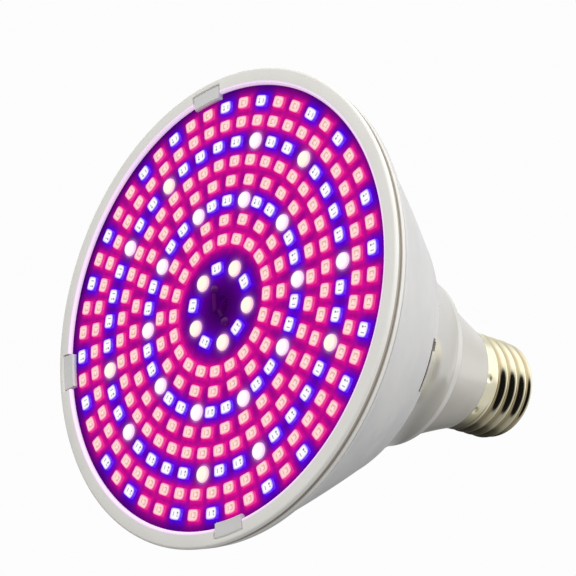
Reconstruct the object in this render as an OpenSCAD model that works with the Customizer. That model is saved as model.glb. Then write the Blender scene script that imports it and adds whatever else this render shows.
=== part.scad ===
// LED grow light bulb with a flood reflector body and an Edison screw base.
// Z = 0 is the front of the ring, +Z runs along the axis to the screw base.
// All lengths are in millimetres.

/* [Front ring] */
// Outer diameter of the ring round the LED board
ring_d = 118; // [114:1:124]
// Depth of the ring along the axis
ring_depth = 3.9; // [3.4:0.1:4.6]
// Thickness of the ring's front flange
flange_t = 1; // [0.8:0.1:1.2]
// Width of the white land between the opening and the outer edge
land_w = 4.2; // [3.9:0.1:4.6]
// Wall of the ring round its side
ring_wall = 1.4; // [1.2:0.1:1.6]
// Taper of the ring's side from its widest point to its back
ring_taper = 0.7; // [0.3:0.1:0.9]

/* [Housing] */
// Height of the housing's back edge above the front of the ring
housing_l = 38.6; // [36:0.5:42]
// Outer diameter of the housing at its back edge
rear_d = 73.1; // [71:0.5:76]
// Wall of the cone, measured across the axis
cone_wall = 2.2; // [1.8:0.1:2.4]
// Outward bow of the cone half way along
cone_bow = 0.4; // [0:0.1:1]
// Width of the shadow groove between ring and housing
groove_w = 0.5; // [0.3:0.1:0.8]
// Thickness of the lip behind the groove
lip_t = 0.9; // [0.6:0.1:1.2]

/* [Board clips] */
// Number of snap clips that hold the LED board
clip_count = 3; // [2:1:4]
// Step from one clip to the next
clip_step = 90; // [80:5:90]
// Direction of the first clip round the axis
clip_start = 59.2; // [30:0.1:75]
// Arc that one clip covers
clip_arc = 9.2; // [7:0.2:11]
// Thickness of the clip and of the wall that it is part of
clip_t = 1.3; // [1.1:0.1:1.5]
// Reach of the clip's nose over the LED board
clip_nose = 2.5; // [2.1:0.1:2.8]

/* [LED board] */
// Thickness of the LED board
board_t = 1.6; // [1:0.1:2]
// Depth of the LED board's face behind the front of the ring
board_depth = 1.5; // [1.4:0.1:1.8]
// Hole in the middle for the two wires
wire_hole_d = 5; // [4.8:0.1:6]
// Diameter of the two solder joints
solder_d = 2.4; // [2:0.1:3]

/* [LEDs] */
// Length of an LED package, round the ring
led_l = 3.5; // [3:0.1:3.6]
// Width of an LED package, towards the middle
led_w = 2.8; // [2.4:0.1:3]
// Height of an LED package
led_h = 0.8; // [0.6:0.1:1]
// Rim round the window of a package
led_rim = 0.35; // [0.2:0.05:0.5]
// Distance from the board's edge to the middle of the outermost LEDs
led_margin = 4.9; // [4.2:0.1:5.5]
// Radius of the innermost ring of LEDs
led_inner_r = 9.5; // [9:0.1:10.5]
// Radius of the second ring of LEDs
led_second_r = 16.4; // [16:0.1:17.5]

/* [Heat cup] */
// Thickness of the plate behind the LED board
plate_t = 1.2; // [0.8:0.1:1.6]
// Wall of the cup's skirt
skirt_t = 1; // [0.6:0.1:1.4]
// Height of the skirt's end above the front of the ring
skirt_end = 27; // [20:0.5:29]

/* [Driver housing] */
// Outer diameter next to the reflector housing
neck_d = 72; // [70.5:0.5:73]
// Height of the step above the front of the ring
step_z = 63.2; // [62:0.2:66]
// Outer diameter in front of the step
step_d = 44.8; // [44:0.2:47]
// Width of the small bevel at the step
step_bevel = 1.2; // [0.8:0.1:1.5]
// Outer diameter behind the step
tail_d = 41; // [40.6:0.2:42]
// Length from the bevel to the screw shell
tail_l = 18.2; // [17:0.2:20]
// Outer diameter where the screw shell begins
collar_seat_d = 28; // [27.4:0.2:29]
// Wall of the driver housing
neck_wall = 2; // [1.6:0.1:2.2]
// Wall of the spigot that turns into the reflector housing
spigot_wall = 2; // [1.6:0.1:2.4]
// Length of that spigot
spigot_l = 5.6; // [5:0.2:8]

/* [Twist lock] */
// Number of slots round the back edge
slot_count = 3; // [2:1:4]
// Direction of the first slot's open window end
slot_start = -12.6; // [-20:0.2:0]
// Arc of one slot
slot_arc = 20.5; // [18:0.5:24]
// Arc of the open window in front of the ear
window_arc = 4; // [3:0.2:6]
// Length of a slot along the axis
slot_l = 2.9; // [2:0.1:3.2]
// Depth of the ear's face below the housing's surface
ear_sink = 1; // [0.3:0.1:1.2]

/* [Screw shell] */
// Outer diameter over the thread's crests
thread_d = 26.3; // [26.1:0.05:26.5]
// Depth of the thread from crest to root
thread_h = 1.05; // [0.9:0.05:1.1]
// Pitch of the thread
pitch = 3.629; // [3.5:0.01:3.7]
// Length of the plain collar
collar_l = 4.6; // [4:0.1:5]
// Length of the threaded stretch
thread_l = 13.6; // [12.5:0.1:14.5]
// Sheet thickness of the shell
shell_t = 0.4; // [0.3:0.05:0.45]
// Diameter of a crimp dimple
crimp_d = 1.6; // [1.2:0.1:2]
// Depth of a crimp dimple
crimp_depth = 0.25; // [0.15:0.05:0.28]

/* [Base end] */
// Diameter of the hole at the end of the shell
shell_mouth_d = 19.8; // [18:0.2:20.4]
// Height of the insulator beyond the shell
insulator_h = 3.6; // [3:0.1:5]
// Diameter of the insulator at its small end
insulator_tip_d = 12.4; // [12:0.2:14]
// Diameter of the centre contact
contact_d = 9.6; // [9:0.2:11]
// Height of the contact above the insulator
contact_h = 1.6; // [1:0.1:2.2]

/* [Driver] */
// Thickness of the driver's circuit board
pcb_t = 1.6; // [1.2:0.1:1.6]
// Half width of the circuit board in the wide part
pcb_half_w = 21.6; // [20.6:0.2:22]
// Half width of the circuit board's tail
pcb_tail_half_w = 11; // [10:0.2:11.6]
// Length of the circuit board
pcb_l = 40; // [38.6:0.2:41]
// Length of the circuit board's wide part
pcb_wide_l = 18.5; // [17.5:0.1:19]
// Diameter of the input capacitor
cap_in_d = 10; // [9:0.2:10.4]
// Length of the input capacitor
cap_in_l = 16; // [14:0.5:16.5]
// Diameter of the output capacitor
cap_out_d = 8; // [7:0.2:9]
// Length of the output capacitor
cap_out_l = 12; // [10:0.5:15]
// Width of the transformer's core
core_w = 16; // [15:0.2:16.6]
// Length of the transformer's core
core_l = 14; // [13:0.2:15]
// Thickness of the transformer's core
core_t = 8; // [7:0.2:9]
// Diameter of the inductor's flanges
inductor_d = 8; // [7:0.2:8.4]
// Height of the inductor
inductor_h = 8.6; // [7:0.2:9]

/* [Wires] */
// Outer diameter of an insulated wire
wire_d = 1.1; // [0.9:0.05:1.15]

/* [Hidden] */

$fn = 96;

// Clearance of a plastic fit, of a flat seat, and an overshoot for cuts
fit = 0.3;
seat = 0.05;
over = 1;

// Front ring and the wall that it snaps over
ring_r = ring_d / 2;
ring_edge = 0.9;
opening_r = ring_r - land_w;
opening_chamfer = 0.45;
front_wall_r = ring_r - ring_wall - fit;
front_bore_r = front_wall_r - clip_t;
board_r = front_bore_r - fit;
lip_z = ring_depth + groove_w;
lip_r = ring_r - 1.1;
cone_z = lip_z + lip_t;
cone_front_r = lip_r - 0.8;
rear_r = rear_d / 2;

// Stack from the board's face to the ledge in the housing
board_back = board_depth + board_t;
plate_z = board_back + seat;
ledge_z = plate_z + plate_t + seat;

// Bayonet between reflector housing and driver housing
neck_z = housing_l + 0.1;
neck_r = neck_d / 2;
rear_floor_t = 1.8;
bore_wall = 1.6;
rear_bore_r = neck_r - 2.6;
spigot_r = rear_bore_r - fit;
spigot_bore_r = spigot_r - spigot_wall;
slot_z = housing_l - slot_l;

// Driver housing
bevel_z = step_z + step_bevel;
collar_z = bevel_z + tail_l;
neck_power = 1.35;
tail_power = 1.08;
tail_bore_r = 9.5;

// Screw shell, from the collar to the mouth
crest_r = thread_d / 2;
thread_mid_r = crest_r - thread_h / 2;
collar_r = crest_r + 0.1;
thread_z = collar_z + collar_l;
lip_round = 1.1;
shell_end = thread_z + thread_l + lip_round;
mouth_r = shell_mouth_d / 2;
crimp_z = collar_z + 1.3;
crimp_angles = [-72, -12, 28, 88, 128, 188, 228];
seat_ring_r = collar_r - shell_t - 0.1;
core_tube_r = crest_r - thread_h - shell_t - fit;
core_tube_end = shell_end - 4;

// Insulator and contact
insulator_z = shell_end + insulator_h;
contact_z = insulator_z + seat;

// Driver's circuit board and what it carries
pcb_z = housing_l - 2.4;
pcb_end = pcb_z + pcb_l;
pcb_shoulder_z = pcb_z + pcb_wide_l;
part_y = pcb_t / 2 + seat;
coil_gap = 0.2;
core_leg = 2.2;
core_side_leg = 2.2;
core_yoke = 2.4;
core_window_w = core_w / 2 - core_leg - core_side_leg;
core_y = part_y + 2.2;
coil_bulge = 2;
core_z = pcb_z + 12;
inductor_z = pcb_end - 11;
inductor_flange = 1.2;
inductor_x = 1.6;

// Wires
wire_r = wire_d / 2;
wire_pair_x = 0.9;
wire_start = 3.5;
live_start = 7;
live_bend = 3;
neutral_x = 5;
neutral_start = 3;
wire_side_y = part_y + wire_r;
wire_front_z = board_depth - seat - wire_r;
solder_spots = [[-3.6, -3.2], [3.6, 3.2]];

// LED rings: the second to the last are evenly spaced
led_rings = 9;
led_outer_r = board_r - led_margin;
led_phase = [-13.4, -4.3, -3.6, -2.3, -0.9, 0.2, -0.2, 1.3, 1.2];
led_window_depth = 0.15;

function led_ring_r(i) =
    i == 0 ? led_inner_r
           : led_second_r + (led_outer_r - led_second_r) * (i - 1) / (led_rings - 2);
function led_count(i) = 10 * (2 + floor((i - 1) / 2));

// Colour plan: whole red rings, with blue and white in every third ring
function led_kind(i, j) =
    i == 0 ? (j % 2 == 0 ? "warm" : "blue") :
    i == 3 ? (j % 3 == 1 ? "cool" : "blue") :
    i == 6 ? (j % 8 == 0 ? "warm" : j % 8 == 5 ? "cool" : "blue") :
    i == 8 ? (j % 5 == 1 || j % 5 == 4 ? "blue" : "red") : "red";

// Outer radius of the cone at height z: a straight taper with a slight bow
function cone_t(z) = (z - cone_z) / (housing_l - cone_z);
function cone_r(z) =
    cone_front_r + (rear_r - cone_front_r) * cone_t(z)
    + cone_bow * 4 * cone_t(z) * (1 - cone_t(z));

// Outer radius of the driver housing's flare and of its tail
function flare_r(z) =
    step_d / 2 + (neck_r - step_d / 2) * pow(1 - (z - neck_z) / (step_z - neck_z), neck_power);
function tail_r(z) =
    collar_seat_d / 2
    + (tail_d - collar_seat_d) / 2 * pow(max(0, 1 - (z - bevel_z) / tail_l), tail_power);

function steps(from, to, n) = [for (k = [0:n]) from + (to - from) * k / n];

// A wedge of angle arc round the axis, r_in to r_out, z0 to z1
module sector(from, arc, r_in, r_out, z0, z1) {
    rotate([0, 0, from]) rotate_extrude(angle = arc)
        translate([r_in, z0]) square([r_out - r_in, z1 - z0]);
}

module at_clips() {
    for (k = [0:clip_count - 1]) rotate([0, 0, clip_start + k * clip_step]) children();
}

module at_slots() {
    for (k = [0:slot_count - 1]) rotate([0, 0, slot_start + k * 360 / slot_count]) children();
}

// A straight round rod from point p to point q
module rod(p, q, r) {
    v = q - p;
    l = norm(v);
    translate(p) rotate([0, acos(v[2] / l), atan2(v[1], v[0])]) cylinder(r = r, h = l, $fn = 24);
}

// A round wire through a list of points
module wire(points, r) {
    for (k = [0:len(points) - 2]) rod(points[k], points[k + 1], r);
    for (k = [1:len(points) - 2]) translate(points[k]) sphere(r = r, $fn = 24);
}

module front_ring() {
    widest_z = ring_edge;
    color([0.9, 0.9, 0.88]) difference() {
        rotate_extrude() polygon(concat(
            [[opening_r + opening_chamfer, 0]],
            [for (a = [90:-15:0])
                [ring_r - ring_edge + ring_edge * cos(a), widest_z - ring_edge * sin(a)]],
            [
                [ring_r - ring_taper, ring_depth], [front_wall_r + fit, ring_depth],
                [front_wall_r + fit, flange_t], [opening_r, flange_t],
                [opening_r, opening_chamfer]
            ]));
        at_clips() sector(-clip_arc / 2 - 0.4, clip_arc + 0.8, opening_r - over,
            front_wall_r + fit, -over, flange_t + over);
    }
}

// One snap clip: a finger of the front wall with a nose over the board
module board_clip() {
    nose_r = front_wall_r - clip_t - clip_nose;
    root_z = ledge_z - 0.3;
    rotate([0, 0, -clip_arc / 2]) rotate_extrude(angle = clip_arc) polygon([
        [nose_r, 0.5], [nose_r + 0.4, 0.1], [front_wall_r - 0.3, 0.1], [front_wall_r, 0.4],
        [front_wall_r, root_z], [front_bore_r, root_z], [front_bore_r, board_depth - seat],
        [nose_r + 0.3, board_depth - seat], [nose_r, board_depth - 0.4]
    ]);
}

module housing() {
    front_wall_z = flange_t + fit;
    inner_floor = housing_l - rear_floor_t;
    edge_round = 0.5;
    color([0.88, 0.88, 0.87]) {
        difference() {
            union() {
                rotate_extrude() polygon(concat(
                    [
                        [front_bore_r, front_wall_z], [front_wall_r, front_wall_z],
                        [front_wall_r, lip_z], [lip_r, lip_z], [lip_r, cone_z - 0.2],
                        [lip_r - 0.2, cone_z]
                    ],
                    [for (z = steps(cone_z, housing_l - edge_round, 10)) [cone_r(z), z]],
                    [
                        [rear_r - edge_round, housing_l], [rear_bore_r, housing_l],
                        [rear_bore_r, inner_floor]
                    ],
                    [for (z = steps(inner_floor, cone_z, 8)) [cone_r(z) - cone_wall, z]],
                    [[cone_front_r - cone_wall, ledge_z], [front_bore_r, ledge_z]]));
                rotate_extrude() translate([rear_bore_r, neck_z - spigot_l])
                    square([bore_wall, spigot_l - 0.3]);
            }
            at_clips() for (side = [-1, 1])
                rotate([0, 0, side * (clip_arc / 2 + 0.4) - 0.4])
                    sector(0, 0.8, front_bore_r - 0.2, front_wall_r + 0.2, -over, lip_z - 0.8);
            at_slots() sector(0, slot_arc, rear_bore_r - over, rear_r + 6, slot_z, housing_l + over);
        }
        at_clips() board_clip();
    }
}

module led_board() {
    color([0.62, 0.1, 0.62]) translate([0, 0, board_depth]) difference() {
        cylinder(r = board_r, h = board_t, $fn = 180);
        translate([0, 0, -over]) cylinder(d = wire_hole_d, h = board_t + 2 * over, $fn = 48);
    }
}

// One surface-mount package with its window sunk into the front
module led_package() {
    top_z = board_depth - seat - led_h;
    difference() {
        translate([-led_w / 2, -led_l / 2, top_z]) cube([led_w, led_l, led_h]);
        translate([-led_w / 2 + led_rim, -led_l / 2 + led_rim, top_z - over])
            cube([led_w - 2 * led_rim, led_l - 2 * led_rim, over + led_window_depth]);
    }
}

module leds(kind) {
    for (i = [0:led_rings - 1], j = [0:led_count(i) - 1])
        if (led_kind(i, j) == kind)
            rotate([0, 0, led_phase[i] + j * 360 / led_count(i)])
                translate([led_ring_r(i), 0, 0]) led_package();
}

module red_leds() { color([1, 0.55, 0.7]) leds("red"); }
module blue_leds() { color([0.6, 0.55, 1]) leds("blue"); }
module warm_white_leds() { color([1, 0.97, 0.85]) leds("warm"); }
module cool_white_leds() { color([0.93, 0.96, 1]) leds("cool"); }

// Each joint is a low dome that the wire's end runs up to
module solder_joints() {
    height = 1.1;
    foot_z = board_depth - seat;
    color([0.75, 0.75, 0.77]) for (p = solder_spots) translate([p[0], p[1], 0])
        rotate_extrude($fn = 48) polygon(concat(
            [[0, foot_z]],
            [for (a = [0:15:90]) [solder_d / 2 * cos(a), foot_z - height * sin(a)]]));
}

module heat_cup() {
    skirt_r = cone_front_r - cone_wall - fit;
    levels = steps(cone_z, skirt_end, 6);
    color([0.78, 0.79, 0.8]) difference() {
        rotate_extrude() polygon(concat(
            [[0, plate_z], [board_r, plate_z], [board_r, plate_z + plate_t],
                [skirt_r, plate_z + plate_t]],
            [for (z = levels) [cone_r(z) - cone_wall - fit, z]],
            [for (k = [len(levels) - 1:-1:0])
                [cone_r(levels[k]) - cone_wall - fit - skirt_t, levels[k]]],
            [[skirt_r - skirt_t, plate_z + plate_t], [0, plate_z + plate_t]]));
        translate([0, 0, plate_z - over])
            cylinder(d = wire_hole_d + 1, h = plate_t + 2 * over, $fn = 48);
    }
}

// Inside of the driver housing as a solid, made wider by grow
module driver_space(grow) {
    rotate_extrude() polygon(concat(
        [[0, neck_z - spigot_l], [spigot_bore_r + grow, neck_z - spigot_l]],
        [for (z = steps(neck_z, step_z, 10)) [min(spigot_bore_r, flare_r(z) - neck_wall) + grow, z]],
        [for (z = steps(bevel_z, collar_z - neck_wall, 6)) [tail_r(z) - neck_wall + grow, z]],
        [[0, collar_z - neck_wall]]));
}

// One ear of the twist lock, its face just under the housing's surface
module lock_ear() {
    z0 = slot_z + 0.2;
    z1 = housing_l - 0.2;
    rotate([0, 0, window_arc]) rotate_extrude(angle = slot_arc - window_arc - 0.6) polygon([
        [spigot_r - 0.5, z0], [cone_r(z0) - ear_sink, z0], [cone_r(z1) - ear_sink, z1],
        [spigot_r - 0.5, z1]
    ]);
}

module driver_housing() {
    rail_t = 1.5;
    rail_gap = 0.15;
    rail_in = 1.8;
    groove = 0.7;
    color([0.9, 0.88, 0.88]) {
        difference() {
            rotate_extrude() polygon(concat(
                [[0, neck_z - spigot_l], [spigot_r, neck_z - spigot_l], [spigot_r, neck_z]],
                [for (z = steps(neck_z, step_z, 12)) [flare_r(z), z]],
                [for (z = steps(bevel_z, collar_z, 8)) [tail_r(z), z]],
                [
                    [seat_ring_r, collar_z], [seat_ring_r, crimp_z - crimp_d / 2],
                    [seat_ring_r - groove, crimp_z - crimp_d / 2],
                    [seat_ring_r - groove, crimp_z + crimp_d / 2],
                    [seat_ring_r, crimp_z + crimp_d / 2], [seat_ring_r, thread_z - 0.8],
                    [core_tube_r, thread_z - 0.4], [core_tube_r, core_tube_end],
                    [0, core_tube_end]
                ]));
            driver_space(0);
            translate([0, 0, collar_z - neck_wall - over])
                cylinder(r = tail_bore_r, h = core_tube_end - collar_z + neck_wall + 2 * over,
                    $fn = 72);
            at_slots() sector(0, window_arc, spigot_bore_r - over, spigot_r + over, slot_z,
                housing_l);
        }
        intersection() {
            driver_space(0.4);
            for (sx = [-1, 1], sy = [-1, 1])
                translate([
                    sx > 0 ? pcb_half_w - rail_in : -neck_r,
                    sy > 0 ? pcb_t / 2 + rail_gap : -pcb_t / 2 - rail_gap - rail_t,
                    neck_z + 1
                ])
                    cube([neck_r - pcb_half_w + rail_in, rail_t, pcb_shoulder_z - neck_z - 1]);
        }
        at_slots() lock_ear();
    }
}

// Rows of the shell's outside: height, middle radius and wave height
thread_turns = thread_l / pitch;
function thread_rows(n) = [for (k = [0:n])
    [thread_z + thread_l * k / n, thread_mid_r, thread_h / 2]];
function lip_rows(n) = [for (k = [1:n])
    [thread_z + thread_l + lip_round * sin(90 * k / n),
        thread_mid_r - lip_round * (1 - cos(90 * k / n)), 0]];

// A sheet-metal shell with a rolled thread: one skin outside, one inside
module thread_skin() {
    around = 30;
    outside = concat(
        [[collar_z + 0.1, collar_r, 0], [thread_z - 0.7, collar_r, 0]],
        thread_rows(round(thread_turns * 8)),
        lip_rows(3),
        [[shell_end, mouth_r, 0]]);
    inside = concat(
        [[shell_end - shell_t, mouth_r, 0]],
        [for (k = [2:-1:1]) let (row = lip_rows(3)[k]) [row[0] - shell_t, row[1] - shell_t / 2, 0]],
        [for (k = [round(thread_turns * 5):-1:0])
            let (row = thread_rows(round(thread_turns * 5))[k]) [row[0], row[1] - shell_t, row[2]]],
        [[thread_z - 0.7, collar_r - shell_t, 0], [collar_z + 0.1, collar_r - shell_t, 0]]);
    rows = concat(outside, inside);
    n = len(rows);
    polyhedron(
        points = [for (row = rows, i = [0:around - 1])
            let (a = 360 * i / around,
                r = row[1] + row[2] * cos(360 * (row[0] - thread_z) / pitch - a))
            [r * cos(a), r * sin(a), row[0]]],
        faces = [for (k = [0:n - 1], i = [0:around - 1], half = [0, 1])
            let (p = k * around + i, q = k * around + (i + 1) % around,
                s = ((k + 1) % n) * around + (i + 1) % around, t = ((k + 1) % n) * around + i)
            half == 0 ? [p, t, s] : [p, s, q]],
        convexity = 10);
}

module screw_shell() {
    ball = 1.5;
    color([0.85, 0.82, 0.66]) difference() {
        thread_skin();
        for (a = crimp_angles)
            rotate([0, 0, a]) translate([collar_r - crimp_depth + ball, 0, crimp_z])
                sphere(r = ball, $fn = 24);
    }
}

module insulator() {
    flange_r = core_tube_r - 0.8;
    flange_z0 = core_tube_end + 1.6;
    flange_z1 = shell_end - shell_t - 0.8;
    color([0.08, 0.08, 0.09]) difference() {
        rotate_extrude() polygon([
            [0, flange_z0], [flange_r, flange_z0], [flange_r, flange_z1 - 0.4],
            [mouth_r - 0.2, flange_z1], [mouth_r - 0.2, shell_end + 0.3],
            [insulator_tip_d / 2, insulator_z], [0, insulator_z]
        ]);
        translate([0, 0, flange_z0 - over])
            cylinder(d = wire_d + 0.6, h = insulator_z - flange_z0 + 2 * over, $fn = 24);
    }
}

module centre_contact() {
    edge = 0.5;
    color([0.83, 0.79, 0.6]) rotate_extrude() polygon(concat(
        [[0, contact_z], [contact_d / 2, contact_z], [contact_d / 2, contact_z + edge]],
        [for (a = [15:15:90])
            [contact_d / 2 * cos(a), contact_z + edge + (contact_h - edge) * sin(a)]]));
}

module driver_board() {
    color([0.16, 0.42, 0.2]) rotate([90, 0, 0]) translate([0, 0, -pcb_t / 2])
        linear_extrude(pcb_t) polygon([
            [-pcb_half_w, pcb_z], [pcb_half_w, pcb_z], [pcb_half_w, pcb_shoulder_z],
            [pcb_tail_half_w, pcb_shoulder_z + 5], [pcb_tail_half_w, pcb_end],
            [-pcb_tail_half_w, pcb_end], [-pcb_tail_half_w, pcb_shoulder_z + 5],
            [-pcb_half_w, pcb_shoulder_z]
        ]);
}

// E core pair: outer legs, middle leg and the two yokes
module transformer_core() {
    color([0.22, 0.22, 0.24]) difference() {
        translate([-core_w / 2, core_y, core_z - core_l / 2]) cube([core_w, core_t, core_l]);
        for (side = [-1, 1])
            translate([side * (core_leg + core_window_w / 2) - core_window_w / 2, core_y - over,
                core_z - core_l / 2 + core_yoke])
                cube([core_window_w, core_t + 2 * over, core_l - 2 * core_yoke]);
    }
}

module transformer_coil() {
    half_w = core_leg + core_window_w - coil_gap;
    h = core_l - 2 * core_yoke - 2 * coil_gap;
    color([0.93, 0.8, 0.25]) difference() {
        translate([-half_w, part_y, core_z - h / 2])
            cube([2 * half_w, core_y - part_y + core_t + coil_bulge, h]);
        translate([-core_leg - coil_gap, core_y - coil_gap, core_z - h])
            cube([2 * (core_leg + coil_gap), core_t + 2 * coil_gap, 2 * h]);
    }
}

// Round capacitor lying on the circuit board, with its crimped neck
module capacitor(x, d, l) {
    neck = 1.6;
    translate([x, part_y + d / 2, pcb_z + 1]) rotate_extrude($fn = 48) polygon([
        [0, 0], [d / 2 - 0.4, 0], [d / 2, 0.4], [d / 2, neck], [d / 2 - 0.4, neck + 0.4],
        [d / 2 - 0.4, neck + 0.8], [d / 2, neck + 1.2], [d / 2, l - 0.3], [d / 2 - 0.3, l], [0, l]
    ]);
}

module input_capacitor() {
    color([0.1, 0.12, 0.16]) capacitor(-core_w / 2 - cap_in_d / 2 - 0.6, cap_in_d, cap_in_l);
}

module output_capacitor() {
    color([0.1, 0.2, 0.45]) capacitor(core_w / 2 + cap_out_d / 2 + 0.8, cap_out_d, cap_out_l);
}

module film_capacitor() {
    color([0.72, 0.12, 0.1]) translate([-9, part_y, inductor_z - 4]) cube([5, 7, 8]);
}

module inductor_core() {
    core_r = inductor_d / 4;
    rim_r = inductor_d / 2;
    upper_z = inductor_h - inductor_flange;
    color([0.25, 0.25, 0.27]) translate([inductor_x, part_y, inductor_z]) rotate([-90, 0, 0])
        rotate_extrude($fn = 48) polygon([
            [0, 0], [rim_r, 0], [rim_r, inductor_flange], [core_r, inductor_flange],
            [core_r, upper_z], [rim_r, upper_z], [rim_r, inductor_h], [0, inductor_h]
        ]);
}

module inductor_coil() {
    color([0.72, 0.4, 0.2]) translate([inductor_x, part_y, inductor_z]) rotate([-90, 0, 0])
        rotate_extrude($fn = 48)
            translate([inductor_d / 4 + seat, inductor_flange + seat])
                square([inductor_d / 4 - 0.5, inductor_h - 2 * inductor_flange - 2 * seat]);
}

module bridge_rectifier() {
    color([0.1, 0.1, 0.11]) translate([-3.2, -part_y - 2.4, pcb_end - 14]) cube([6.4, 2.4, 5]);
}

module driver_chip() {
    color([0.1, 0.1, 0.11]) translate([-2, -part_y - 1.5, core_z - 2.5]) cube([4, 1.5, 5]);
}

module fuse_resistor() {
    d = 3.2;
    color([0.75, 0.68, 0.5])
        translate([-6.4, part_y + d / 2, inductor_z + inductor_d / 2 + 1 + d / 2])
        rotate([0, 90, 0])
        rotate_extrude($fn = 36) polygon([
            [0, 0], [d / 2 - 0.3, 0], [d / 2, 0.5], [d / 2, 1.8], [d / 2 - 0.25, 2.3],
            [d / 2 - 0.25, 5.7], [d / 2, 6.2], [d / 2, 7.5], [d / 2 - 0.3, 8], [0, 8]
        ]);
}

module chip_resistors() {
    color([0.15, 0.15, 0.16]) for (k = [0:3])
        translate([5.5 + (k % 2) * 5, -part_y - 0.6, core_z - 4 + floor(k / 2) * 5])
            cube([3.2, 0.6, 1.6]);
}

// From the driver's board through the middle hole to a solder joint
function led_wire_path(k) =
    let (x = (k == 0 ? -1 : 1) * wire_pair_x, spot = solder_spots[k],
        run = [spot[0] - x, spot[1] - wire_side_y],
        end = spot - run / norm(run) * (solder_d / 2 + seat))
    [[x, wire_side_y, pcb_z + wire_start], [x, wire_side_y, wire_front_z],
        [end[0], end[1], wire_front_z]];

module positive_wire() { color([0.8, 0.12, 0.1]) wire(led_wire_path(0), wire_r); }
module negative_wire() { color([0.12, 0.12, 0.13]) wire(led_wire_path(1), wire_r); }

module live_wire() {
    color([0.8, 0.78, 0.75]) wire([
        [0, -wire_side_y, pcb_end - live_start], [0, -wire_side_y, pcb_end + live_bend],
        [0, 0, pcb_end + live_bend], [0, 0, contact_z - seat]
    ], wire_r);
}

module neutral_wire() {
    top_z = core_tube_end + 0.2 + wire_r;
    color([0.8, 0.78, 0.75]) wire([
        [neutral_x, wire_side_y, pcb_end - neutral_start], [neutral_x, wire_side_y, top_z],
        [core_tube_r - 0.3, wire_side_y, top_z]
    ], wire_r);
}

front_ring();
housing();
led_board();
red_leds();
blue_leds();
warm_white_leds();
cool_white_leds();
solder_joints();
heat_cup();
driver_housing();
screw_shell();
insulator();
centre_contact();
driver_board();
transformer_core();
transformer_coil();
input_capacitor();
output_capacitor();
film_capacitor();
inductor_core();
inductor_coil();
bridge_rectifier();
driver_chip();
fuse_resistor();
chip_resistors();
positive_wire();
negative_wire();
live_wire();
neutral_wire();
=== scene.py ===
"""Looks of a lit LED grow lamp that stands on its front ring, base up.

All sizes are in millimetres in the lamp's own frame: the LED face looks down, and the
axis runs up through the screw base. Meshes are turned into metres when they are made.
"""
import math

import bpy
import numpy as np
from mathutils import Matrix


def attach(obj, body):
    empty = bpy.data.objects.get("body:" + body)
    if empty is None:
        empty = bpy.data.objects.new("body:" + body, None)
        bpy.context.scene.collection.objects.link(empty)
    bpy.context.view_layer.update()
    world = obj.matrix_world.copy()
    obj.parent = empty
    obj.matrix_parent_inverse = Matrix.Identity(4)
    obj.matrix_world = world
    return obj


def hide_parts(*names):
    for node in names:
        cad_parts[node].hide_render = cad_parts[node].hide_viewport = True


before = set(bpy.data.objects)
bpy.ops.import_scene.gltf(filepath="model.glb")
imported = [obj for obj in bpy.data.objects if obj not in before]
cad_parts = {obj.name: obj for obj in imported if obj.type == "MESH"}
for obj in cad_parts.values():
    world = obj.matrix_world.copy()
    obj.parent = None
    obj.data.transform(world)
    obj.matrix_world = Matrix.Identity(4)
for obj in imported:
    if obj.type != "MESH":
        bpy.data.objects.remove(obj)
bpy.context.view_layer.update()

MM = 0.001

# Front ring
RING_R = 59.0
RING_BACK_R = 58.3
RING_DEPTH = 3.9
RING_EDGE = 0.9
RING_GROOVE = (0.95, 2.55)
RING_GROOVE_DEPTH = 0.45
OPENING_R = 54.8
OPENING_CHAMFER = 0.45
FLANGE_T = 1.0
POCKET_R = 57.4

# Housing, its clips and its slots
WALL_R = 57.3
BORE_R = 56.0
WALL_Z = 1.1
LIP_Z = 4.4
LIP_R = 57.9
CONE_Z = 5.3
CONE_FRONT_R = 57.1
CONE_WALL = 2.2
CONE_BOW = 0.4
REAR_R = 36.55
REAR_Z = 38.6
REAR_BORE_R = 33.4
SPIGOT_Z = 33.1
CLIP_ANGLES = 59.2 + 90.0 * np.arange(3)
CLIP_ARC = 9.2
CLIP_GAP = 0.4
NOSE_R = 53.5
SLOT_ANGLES = -12.6 + 120.0 * np.arange(3)
SLOT_ARC = 20.5
SLOT_Z = 35.7
WINDOW_ARC = 4.0
WINDOW_DEPTH = 1.8
WINDOW_RISE = 1.6
EAR_SINK = 1.0

# LED board and packages
BOARD_R = 55.7
BOARD_Z = 1.5
BOARD_T = 1.6
WIRE_HOLE_R = 2.5
LED_BASE_Z = 1.45
LED_L = 3.5
LED_W = 2.8
LED_H = 0.8
POOL_R = 2.05
POOL_H = 1.0
LED_RING_R = np.concatenate([[9.5], 16.4 + 34.4 * np.arange(8) / 7])
LED_COUNT = 10 * (2 + (np.arange(9) - 1) // 2)
LED_PHASE = [-13.4, -4.3, -3.6, -2.3, -0.9, 0.2, -0.2, 1.3, 1.2]

# Driver housing
SPIGOT_R = 33.3
NECK_Z = 38.7
NECK_R = 36.0
STEP_Z = 63.2
STEP_R = 22.4
BEVEL_Z = 64.4
TAIL_R = 20.5
TAIL_L = 18.2
COLLAR_Z = 82.6
COLLAR_SEAT_R = 14.0
NECK_WALL = 2.0
FRONT_STRIP_Z = 41.0
STEP_STRIP_Z = 60.9
PLUG_R = 12.75
PLUG_Z = 86.6
PLUG_TIP_R = 11.3
PLUG_TIP_Z = 97.9
PLUG_BORE_R = 9.5

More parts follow.
